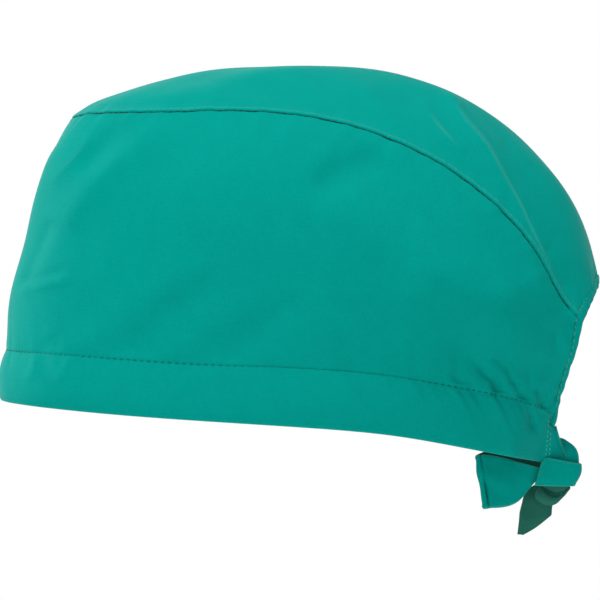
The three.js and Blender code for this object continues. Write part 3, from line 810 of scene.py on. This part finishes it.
def stitch_row(
    name, line, normals, material, pitch=STITCH_PITCH, length=2.1, width=0.42, sink=0.05
):
    """A row of lockstitches along a line of points: short threads whose ends dip into the cloth."""
    runs = lengths_along(line, 0)
    count = max(int(runs[-1] / pitch), 1)
    middles = (np.arange(count) + 0.5) * runs[-1] / count

    def at(values, run):
        return np.stack([np.interp(run, runs, values[:, i]) for i in range(3)], axis=-1)

    along = unit(at(line, middles + STITCH_LOOK) - at(line, middles - STITCH_LOOK))
    up = unit(at(normals, middles))
    across = unit(np.cross(up, along))
    shares = np.linspace(-1, 1, STITCH_STEPS)
    turns = np.arange(STITCH_SIDES) * 2 * math.pi / STITCH_SIDES
    thick = np.sqrt(np.clip(1 - np.abs(shares) ** STITCH_BLUNT, 0, 1)) * width / 2
    thick[[0, -1]] = STITCH_TIP
    dip = STITCH_DIP * (shares**2)[:, None]
    x = np.repeat(shares * length / 2, STITCH_SIDES)[:, None]
    y = (thick[:, None] * np.cos(turns)).ravel()[:, None]
    z = (thick[:, None] * np.sin(turns) - dip - sink).ravel()[:, None]
    base = at(line, middles)[:, None]
    points = base + x * along[:, None] + y * across[:, None] + z * up[:, None]
    ring = np.arange(STITCH_STEPS * STITCH_SIDES).reshape(STITCH_STEPS, STITCH_SIDES)
    ahead = np.roll(ring, -1, axis=1)
    sides = np.stack([ring[:-1], ahead[:-1], ahead[1:], ring[1:]], axis=-1).reshape(-1, 4)
    starts = np.arange(count)[:, None, None] * ring.size
    faces = (sides[None] + starts).reshape(-1, 4).tolist()
    for start in range(0, count * ring.size, ring.size):
        faces.append((ring[0][::-1] + start).tolist())
        faces.append((ring[-1] + start).tolist())
    mesh = bpy.data.meshes.new(name)
    mesh.from_pydata((points.reshape(-1, 3) * MM).tolist(), [], faces)
    mesh.materials.append(material)
    mesh.shade_smooth()
    return dress(shown(name, mesh))


def crowded(count, low, high, share):
    """Places from low to high that crowd towards both ends, by this share."""
    t = np.linspace(0, 1, count)
    return low + (high - low) * (t - share * np.sin(2 * math.pi * t) / (2 * math.pi))


# Lines that the cloth is sewn along
ROUND = np.linspace(-1, 1, 901)
stitch_line = band_edge(STITCH_LINE, "stitch", ROUND)
seam_line = seam_point(ROUND)

# Puckers along the band: height, reach, their share right at the stitches and where they are full,
# and how they slant above the line and below it
PUCKER = {"height": 0.5, "reach": 8, "tight": 0.35, "full": 3, "slant": 0.35, "band_slant": -0.45}
GATHER = {"from": 45, "to": 100, "calm": 0.5, "strong": 2.0}
# Small puckers beside seams and hems
UNDER_SEAM = {"height": 0.22, "reach": 7, "slant": 0.3}
OVER_SEAM = {"height": 0.18, "reach": 6, "slant": 0.4}
BESIDE_BACK_HEM = {"height": 0.22, "reach": 5, "slant": 0}
BESIDE_CROWN_HEM = {"height": 0.2, "reach": 5, "slant": 0}
# Depth and width of the groove along stitches, and of the one where the panels meet
STITCH_GROOVE = (0.2, 0.6)
SEAM_GROOVE = (1.2, 0.3)
# How a face runs on at an edge is read over this share of its length
EDGE_STEP = 0.004


def gather(points):
    """How strongly the cloth puckers along the band: little at the front, much by the back edge."""
    more = ease(points[..., 1], GATHER["from"], GATHER["to"])
    return GATHER["calm"] + (GATHER["strong"] - GATHER["calm"]) * more


def puckers(points, away, run):
    """How far the cloth stands out beside the stitch line, alike for panel, band and thread."""
    tight = PUCKER["tight"] + (1 - PUCKER["tight"]) * ease(away, 0, PUCKER["full"])
    reach = fading(away, PUCKER["reach"])
    return PUCKER["height"] * gather(points) * reach * tight * band_ripples(run)


def small_puckers(kind, away, run, wave):
    """Small puckers that slant and die away from a seam or hem."""
    return kind["height"] * fading(away, kind["reach"]) * wave(run + kind["slant"] * away)


def groove(kind, away):
    """The cloth is drawn in along a row of stitches or a seam."""
    depth, width = kind
    return depth * bell(away, width)


def back_inset(v, distance):
    """The share of the way round that lies within a distance of the panel's back edge."""
    last_step = wall_point(1, v) - wall_point(1 - EDGE_STEP, v)
    return distance * EDGE_STEP / size(last_step)


def wall_relief(points):
    """Puckers and grooves of the side panel beside its stitches and under the crown seam."""
    above, run = distance_to(stitch_line, points)
    below, seam_run = distance_to(seam_line, points)
    lift = puckers(points, above, run + PUCKER["slant"] * above)
    lift -= groove(STITCH_GROOVE, above)
    lift += small_puckers(UNDER_SEAM, below, seam_run, seam_ripples)
    lift -= groove(SEAM_GROOVE, below)
    calm = SIDE_SWELL * side_swell(points) * ease(below, 0, SWELL_FULL)
    return lift + calm * ease(above, 0, SWELL_FULL)


# A hem's outer face leans back by this much over its width; its foot is tucked into the band
HEM_TILT = 0.35
HEM_FOOT = -0.11
# Round its free edge a hem has this radius, and it is at least this share of its thickness there
HEM_ROUND = 0.9
HEM_LEAST = 0.02
# How far a hem's two faces lie above and below the panel's face, and how high its ripples are
HEM_RISE = 0.25
HEM_SINK = 1.2
HEM_RIPPLE = 0.15
HEM_PINCHES = [
    soft("upper pinch", BOTH, 1.6, -0.7, (108, 26), (114, 25)),
    soft("lower pinch", BOTH, 1.4, -0.5, (106, 13.5), (113, 12.5)),
]

# The panel's foot lies inside the doubled band, this share of its height under the stitch line
PANEL_FOOT = -0.03

# How many points each grid has, and how they crowd towards its edges
SIDE_GRID = {"round": 391, "up": 124, "crowding": 0.85}
CROWN_GRID = {"across": 165, "crowding_across": 0.88, "along": 286, "crowding_along": 0.45}
HEM_GRID = {"over": 16, "crowding_over": 0.4, "up": 120, "crowding_up": 0.5, "across": 121}
BAND_GRID = {"round": 421, "section": 52}
WRAP_GRID = {"along": 110, "up": 40}


def make_side_panel():
    v = crowded(SIDE_GRID["up"], PANEL_FOOT, 1, SIDE_GRID["crowding"])[None, :]
    row = np.linspace(-1, 1, SIDE_GRID["round"])[:, None]
    points = wall_point(row * (1 - back_inset(v, HEM_WIDTH)), v)
    to_hem = size(points - points[-1:])
    to_other_hem = size(points - points[:1])
    edge_away = np.minimum(to_hem, to_other_hem)
    height = lengths_along(points, 1)
    lift = wall_relief(points) - groove(STITCH_GROOVE, edge_away) - np.clip(v / PANEL_FOOT, 0, 1)
    lift += small_puckers(BESIDE_BACK_HEM, edge_away, height, hem_ripples)
    outer, inner = raised(points, lift), raised(points, lift - CLOTH)
    # Painted highlight along the crease tops
    pale = crease_highlight(SIDE_FOLDS, points)
    piece = cloth_piece("side_panel_cloth", outer, inner, face_and_shaded_reverse, pale)
    return dress(piece, "side_panel")


def hem_loop(face, sign, lift):
    """A turned hem, round at its free edge: face gives points by distance from that edge."""
    distances = crowded(HEM_GRID["over"], 0, HEM_WIDTH, HEM_GRID["crowding_over"])[::-1]
    middle = np.array([face(distance) for distance in distances])
    normals = sign * normals_of(middle)
    to_round = 1 - np.clip(distances / HEM_ROUND, 0, 1)
    swell = np.sqrt(np.clip(1 - to_round**2, HEM_LEAST, 1))
    turned = HEM_TILT * (distances / HEM_WIDTH - 0.5)
    drawn_in = groove(STITCH_GROOVE, HEM_WIDTH - distances)
    rise = (HEM_RISE * swell + turned - drawn_in)[:, None] + lift
    sink = (HEM_SINK * swell - turned)[:, None] - lift
    return middle + normals * rise[..., None], middle - normals * sink[..., None]


def make_back_hem(name, side):
    v = crowded(HEM_GRID["up"], HEM_FOOT, 1, HEM_GRID["crowding_up"])
    edge = wall_point(side * np.ones(len(v)), v)

    def face(distance):
        return wall_point(side * (1 - back_inset(v, distance)), v)

    ripple = HEM_RIPPLE * hem_ripples(lengths_along(edge[None], 1)[0])
    outer, inner = hem_loop(face, side, (ripple + fold_lift(HEM_PINCHES, edge))[None, :])
    if side < 0:
        outer, inner = outer[::-1], inner[::-1]
    piece = cloth_piece(name + "_cloth", outer, inner, face_and_shaded_reverse)
    seam_side = 0 if side > 0 else -1
    normals = unit(outer[seam_side] - inner[seam_side])
    above = v > 0
    line = face(HEM_WIDTH)[above]
    # The hem's row in the painted-highlight thread
    stitch_row(name + "_stitches", line, normals[above], thread_lit, width=0.4, sink=-0.12)
    return dress(piece, name)


# The crown starts this share behind its front point. Its seam allowance lifts it, with a pressed
# line along the seam that carries a painted highlight between the stitches.
CROWN_FRONT = 0.004
ALLOWANCE = {"rise": 0.25, "from": 1.5, "to": 6}
PRESSED = {"at": 1.7, "width": 0.4, "rise": 0.07, "beat": 0.4}
# The sunk thread of the crown seam stops this many places before the seam's ends
SEAM_THREAD_ENDS = 12


def rear_rate(k):
    """How fast the crown's face runs on at its rear edge, for a whole share of its length."""
    last_step = crown_point(k, 1.0) - crown_point(k, 1 - EDGE_STEP)
    return size(last_step) / EDGE_STEP


def make_crown():
    k = 2 * crowded(CROWN_GRID["across"], 0, 1, CROWN_GRID["crowding_across"])[:, None] - 1
    w = crowded(CROWN_GRID["along"], CROWN_FRONT, 1, CROWN_GRID["crowding_along"])[None, :]
    points = crown_point(k, w * (1 - HEM_WIDTH / rear_rate(k)))
    away, run = distance_to(seam_line, points)
    to_hem = size(points - points[:, -1:])
    near = 1 - ease(away, ALLOWANCE["from"], ALLOWANCE["to"])
    pressed = bell(away - PRESSED["at"], PRESSED["width"])
    lift = ALLOWANCE["rise"] * near - groove(SEAM_GROOVE, away) + PRESSED["rise"] * pressed
    lift += small_puckers(OVER_SEAM, away, run, seam_ripples)
    at_hem = small_puckers(BESIDE_CROWN_HEM, to_hem, lengths_along(points, 0), hem_ripples)
    lift += at_hem - groove(STITCH_GROOVE, to_hem)
    lift += CROWN_SWELL * crown_swell(points) * ease(away, 0, SWELL_FULL)
    outer, inner = raised(points, lift), raised(points, lift - CLOTH)
    # Painted highlight along the pressed line of the seam, stronger between the stitches, and along
    # the crease tops
    beat = PRESSED["beat"] * np.sin(2 * math.pi * run / STITCH_PITCH)
    pale = SEAM_HIGHLIGHT * pressed * (1 - PRESSED["beat"] + beat)
    pale += crease_highlight(CROWN_FOLDS, points)
    # The seam's thread in near-black, painted shade along the seam's crease
    line = seam_line[SEAM_THREAD_ENDS:-SEAM_THREAD_ENDS]
    up = unit(line - CROWN_HEART)
    stitch_row("crown_seam_shaded_stitches", line, up, seam_shadow_thread, length=2.7, width=0.4, sink=0.3)
    piece = cloth_piece("crown_cloth", outer, inner, face_and_shaded_reverse, pale)
    return dress(piece, "crown_panel")


def make_crown_hem():
    k = np.linspace(-1, 1, HEM_GRID["across"])
    rear = rear_rate(k)

    def face(distance):
        return crown_point(k, 1 - distance / rear)

    run = lengths_along(face(0)[None], 1)[0]
    outer, inner = hem_loop(face, -1, HEM_RIPPLE * hem_ripples(run)[None, :])
    outer, inner = outer[::-1], inner[::-1]
    piece = cloth_piece("crown_hem_cloth", outer, inner, face_and_shaded_reverse)
    normals = unit(outer[-1] - inner[-1])
    # The hem's row in the painted-highlight thread
    stitch_row("crown_hem_stitches", face(HEM_WIDTH), normals, thread_lit)
    return dress(piece, "crown_hem")


def band_point(u, down, out):
    """The doubled band: u round the cap, down from the stitch line to the rim, out of the line."""
    top, foot = band_edge(STITCH_LINE, "stitch", u), band_edge(RIM, "rim", u)
    points = top + (foot - top) * down[..., None]
    side = np.abs(u)
    flat = 1 - BAND_END["flat"] * ease(side, BAND_END["flat_from"], 1)
    drawn_in = BAND_END["inward"] * ease(side, BAND_END["inward_from"], BAND_END["inward_to"])
    back = np.interp(down, END_BACK["down"], END_BACK["back"])
    back = ease(side, BAND_END["back_from"], 1) * back
    points = points + outward_at(points) * (out * flat)[..., None]
    points[..., 0] *= 1 - drawn_in * down
    points[..., 1] += back
    return points


# The band's thread is drawn in by this much
BAND_THREAD_SINK = 0.05


def make_band():
    u = np.linspace(-1, 1, BAND_GRID["round"])[:, None]
    rounds = np.linspace(0, BAND_ROUND["at"][-1], BAND_GRID["section"])[None, :]
    down, out = (read(BAND_ROUND, "at", column, rounds) for column in ("down", "out"))
    u, down, out, rounds = np.broadcast_arrays(u, down, out, rounds)
    points = band_point(u, down, out)
    height = band_edge(STITCH_LINE, "stitch", u) - band_edge(RIM, "rim", u)
    depth = down * size(height)
    line_run = lengths_along(stitch_line, 0)
    run = np.interp(u, ROUND, line_run)
    lift = puckers(points, depth, run + PUCKER["band_slant"] * depth)
    lift += BAND_SWELL * side_swell(points + BAND_SWELL_SHIFT) + fold_lift(BAND_FOLDS, points)
    rings = band_point(u, down, out + ease(rounds, RELIEF_GONE, RELIEF_FULL) * lift)
    half = rings.shape[1] // 2
    outer, inner = rings[:, :half][:, ::-1], rings[:, half:]
    piece = cloth_piece("hem_band_cloth", outer, inner, face_both)
    proud = puckers(stitch_line, np.zeros(len(ROUND)), line_run) - BAND_THREAD_SINK
    up = outward_at(stitch_line)
    line = stitch_line + up * proud[:, None]
    # The band's row in the painted-shade thread
    stitch_row("band_stitches", line, up, thread_shaded, length=1.9, width=0.34, sink=0.0)
    make_end_rows()
    return dress(piece, "hem_band")


def make_end_rows():
    """Two rows of stitches across each end of the band, where the ties are sewn in."""
    down, out = (BAND_ROUND[column][:OUTER_ROWS] for column in ("down", "out"))
    bulge = np.interp(END_ROW_SHARES, down, out) + END_ROW_PROUD
    even = np.ones(len(END_ROW_SEARCH))
    for number, (y_top, y_rim) in enumerate(zip(END_ROWS["top"], END_ROWS["rim"])):
        places = []
        for down_here, out_here in zip(END_ROW_SHARES, bulge):
            y = band_point(END_ROW_SEARCH, even * down_here, even * out_here)[:, 1]
            places.append(np.interp(y_top + (y_rim - y_top) * down_here, y, END_ROW_SEARCH))
        for side, word in ((1, "left"), (-1, "right")):
            name = f"band_end_stitches_{word}_{number + 1}"
            line = band_point(side * np.array(places), END_ROW_SHARES, bulge)
            up = outward_at(line)
            # The end rows in the painted-highlight thread
            stitch_row(name, line, up, thread_lit, pitch=2.2, length=1.6, width=0.44)


# A tie's half thickness, the bead along its folded edges, how it thins at the very edge, and how
# wide the painted highlight there is
TIE_HALF = 0.5
TIE_BEAD_AT = 0.6
TIE_BEAD_SPREAD = 0.2
TIE_THINNED = (0.3, 0.25)
TIE_HIGHLIGHT_WIDTH = 0.45


def from_edges(points):
    """How far each point of a strip is from the nearer of its long edges."""
    return np.minimum(lengths_along(points, 1), lengths_along(points[:, ::-1], 1)[:, ::-1])


def tie_cloth(name, points, from_edge, materials, waves, calm, bead):
    """A strip's middle face made into cloth. waves: its slack, full beyond calm from its edges."""
    lift = waves * tie_swell(points) * ease(from_edge, 0, calm)
    thick = TIE_HALF + bead * np.exp(-((from_edge - TIE_BEAD_AT) ** 2) / TIE_BEAD_SPREAD)
    thick = thick - groove(TIE_THINNED, from_edge)
    outer, inner = raised(points, lift + thick), raised(points, lift - thick)
    # Painted highlight along the strip's folded edges
    pale = EDGE_HIGHLIGHT * bell(from_edge, TIE_HIGHLIGHT_WIDTH)
    return cloth_piece(name, outer, inner, materials, pale)


def make_strip(name, rows, node, materials, steps=70, across_steps=26):
    """A strip of tie from its table of rows."""
    at = np.linspace(0, 1, len(rows["ax"]))
    place = np.linspace(0, 1, steps)
    across = np.linspace(0, 1, across_steps)[None, :]
    arch = 1 - (2 * across - 1) ** 2
    value = {column: smooth(at, rows[column], place)[:, None] for column in rows}
    x, y, z = (value["b" + i] + (value["a" + i] - value["b" + i]) * across for i in "xyz")
    points = stack(x + value["bulge"] * arch, y, z - value["dip"] * arch) + KNOT
    from_edge = from_edges(points)
    piece = tie_cloth(name, points, from_edge, materials, waves=0.25, calm=3, bead=0.22)
    return dress(piece, node)


def make_wrap():
    """The tie's turn round the knot."""
    last = WRAP_TURNS["at"][-1]
    path_at = np.linspace(0, WRAP_PATH["at"][-1], WRAP_GRID["along"])[:, None]
    at = np.linspace(0, last, WRAP_GRID["up"])[None, :]
    value = {name: read(WRAP_TURNS, "at", name, at) for name in ("y", "z", "length", "slope")}
    x, share = (read(WRAP_PATH, "at", column, path_at) for column in ("x", "along"))
    y = value["length"] * share
    full = WRAP_FULLNESS * (1 - ((at - last / 2) / (last / 2)) ** 2) * np.sign(x)
    points = stack(x + full, value["y"] + y, value["z"] + value["slope"] * y) + KNOT
    points = points[:, ::-1]
    from_edge = np.minimum(from_edges(points), lengths_along(points, 0))
    name = "knot_wrap_cloth"
    piece = tie_cloth(name, points, from_edge, face_both, waves=0.3, calm=2.5, bead=0.2)
    return dress(piece, "knot_wrap")


# The ties pressed together inside the turn: half sizes, and creases that run aslant
CORE_HALF = np.array([5.2, 5.9, 4.4])
CORE_SHARE = 0.94
CORE_RELIEF = 0.05
CORE_CREASE = 0.5
CORE_SWELL = 0.3
CORE_SLANT = (1.3, 0.6)


def make_core():
    """What the turn holds together: the ties pressed into a tight bundle."""
    shape = bmesh.new()
    bmesh.ops.create_icosphere(shape, subdivisions=5, radius=1)
    for vertex in shape.verts:
        point = np.array(vertex.co) * CORE_HALF
        slant = point[1] * CORE_SLANT[0] + CORE_SLANT[1] * point[2]
        crease = CORE_CREASE * math.sin(slant) + CORE_SWELL * float(tie_swell(point[None])[0])
        point = point * (CORE_SHARE + CORE_RELIEF * crease)
        vertex.co = Vector((point + KNOT) * MM)
    mesh = bpy.data.meshes.new("knot_core_cloth")
    shape.to_mesh(mesh)
    shape.free()
    mesh.materials.append(polycotton_face)
    mesh.shade_smooth()
    layer = mesh.uv_layers.new(name="weave")
    for loop in mesh.loops:
        co = mesh.vertices[loop.vertex_index].co
        layer.data[loop.index].uv = (co.y, co.z)
    return dress(shown("knot_core_cloth", mesh), "knot_core")


side_cloth = make_side_panel()
crown_cloth = make_crown()
crown_hem_cloth = make_crown_hem()
left_hem_cloth = make_back_hem("back_hem_left", 1)
right_hem_cloth = make_back_hem("back_hem_right", -1)
band_cloth = make_band()
tie_left_cloth = make_strip("tie_left_cloth", TIE_LEFT, "tie_left", face_both)
tie_right_cloth = make_strip("tie_right_cloth", TIE_RIGHT, "tie_right", face_both)
# The loop's inside face is the darker reverse: painted shade inside the loop
loop_cloth = make_strip("bow_loop_cloth", LOOP, "bow_loop", shaded_reverse_and_face, steps=190)
# The tail and the knot's fold and lip are the darker reverse on both faces, partly painted shade
# where they hang under the knot
tail_cloth, fold_cloth, lip_cloth = (
    make_strip(name, rows, node, shaded_reverse_both, steps=steps)
    for name, rows, node, steps in (
        ("tail_lower_cloth", TAIL, "tail_lower", 70),
        ("knot_fold_cloth", KNOT_FOLD, "knot_fold", 40),
        ("knot_lip_cloth", KNOT_LIP, "knot_fold", 30),
    )
)
wrap_cloth = make_wrap()
make_core()


# Studio: white all round, a soft key above the left side, a rim light before the forehead, a high
# one behind, and a weak low fill from the photo's side for the knot
STUDIO_LIGHT = 0.36
STUDIO_LEAN = (0.1, -0.25, 0.28)
scene = bpy.context.scene
scene.view_settings.view_transform = "Standard"
world = bpy.data.worlds.new("white_studio")
scene.world = world
world.use_nodes = True
sky = world.node_tree
sky.nodes.clear()
to_camera = add_node(sky, "LightPath", {}).outputs["Is Camera Ray"]
way = add_node(sky, "TexCoord", {}).outputs["Generated"]
lean = add_node(sky, "VectorMath", {0: way, 1: STUDIO_LEAN}, operation="DOT_PRODUCT")
leaned = {0: lean.outputs["Value"], 1: STUDIO_LIGHT}
glow = add_node(sky, "Math", leaned, operation="ADD").outputs["Value"]
lit = add_node(sky, "Background", {"Color": WHITE, "Strength": glow}).outputs[0]
seen = add_node(sky, "Background", {"Color": WHITE, "Strength": 1.0}).outputs[0]
either = add_node(sky, "MixShader", {0: to_camera, 1: lit, 2: seen}).outputs[0]
add_node(sky, "OutputWorld", {"Surface": either})

# The middle of the cap, at which the lamps point
LIT_PLACE = Vector((0, 0.01, 0.06))


def soft_light(name, place, size, power):
    """A round lamp of this size in metres and power in watts."""
    data = bpy.data.lights.new(name, "AREA")
    data.shape = "DISK"
    data.size = size
    data.energy = power
    lamp = bpy.data.objects.new(name, data)
    lamp.location = place
    lamp.rotation_euler = (LIT_PLACE - Vector(place)).to_track_quat("-Z", "Y").to_euler()
    scene.collection.objects.link(lamp)


soft_light("key", (0.66, -0.4, 1.6), size=0.6, power=11)
soft_light("rim", (-1.0, -1.5, 0.5), size=0.5, power=17)
soft_light("high", (0.0, 0.9, 1.7), size=0.6, power=9)
soft_light("fill", (1.45, -0.3, -0.15), size=0.5, power=3.5)

# Floor: a pale round that fades into the white studio between these distances, like a paper sweep
FLOOR_HEIGHT = -0.3
FLOOR_RADIUS = 3
FLOOR_SIDES = 96
FLOOR_FADE = (0.35, 1.5)
floor_mesh = bpy.data.meshes.new("floor")
floor_shape = bmesh.new()
bmesh.ops.create_circle(floor_shape, cap_ends=True, segments=FLOOR_SIDES, radius=FLOOR_RADIUS)
floor_shape.to_mesh(floor_mesh)
floor_shape.free()
floor = shown("floor", floor_mesh)
floor.location = (0, 0, FLOOR_HEIGHT)
pale = matt("pale_floor", "#e6e6e6", roughness=0.9, specular=0.0)
tree = pale.node_tree
paper = tree.nodes["Principled BSDF"].outputs[0]
spot = add_node(tree, "TexCoord", {}).outputs["Object"]
reach = add_node(tree, "VectorMath", {0: spot}, operation="LENGTH").outputs["Value"]
fade = remapped(tree, reach, FLOOR_FADE, (0.0, 1.0), interpolation_type="SMOOTHSTEP")
white = add_node(tree, "Emission", {"Color": WHITE, "Strength": 1.0}).outputs[0]
faded = add_node(tree, "MixShader", {0: fade, 1: paper, 2: white})
tree.links.new(faded.outputs[0], tree.nodes["Material Output"].inputs["Surface"])
floor_mesh.materials.append(pale)

# Camera
camera_data = bpy.data.cameras.new("photo_view")
camera_data.sensor_width = SENSOR_WIDTH
camera_data.lens = LENS
camera_data.clip_start = NEAREST_SHOWN
camera = bpy.data.objects.new("photo_view", camera_data)
camera.location = EYE
camera.rotation_euler = (math.pi / 2, 0, math.pi / 2)
scene.collection.objects.link(camera)
scene.camera = camera
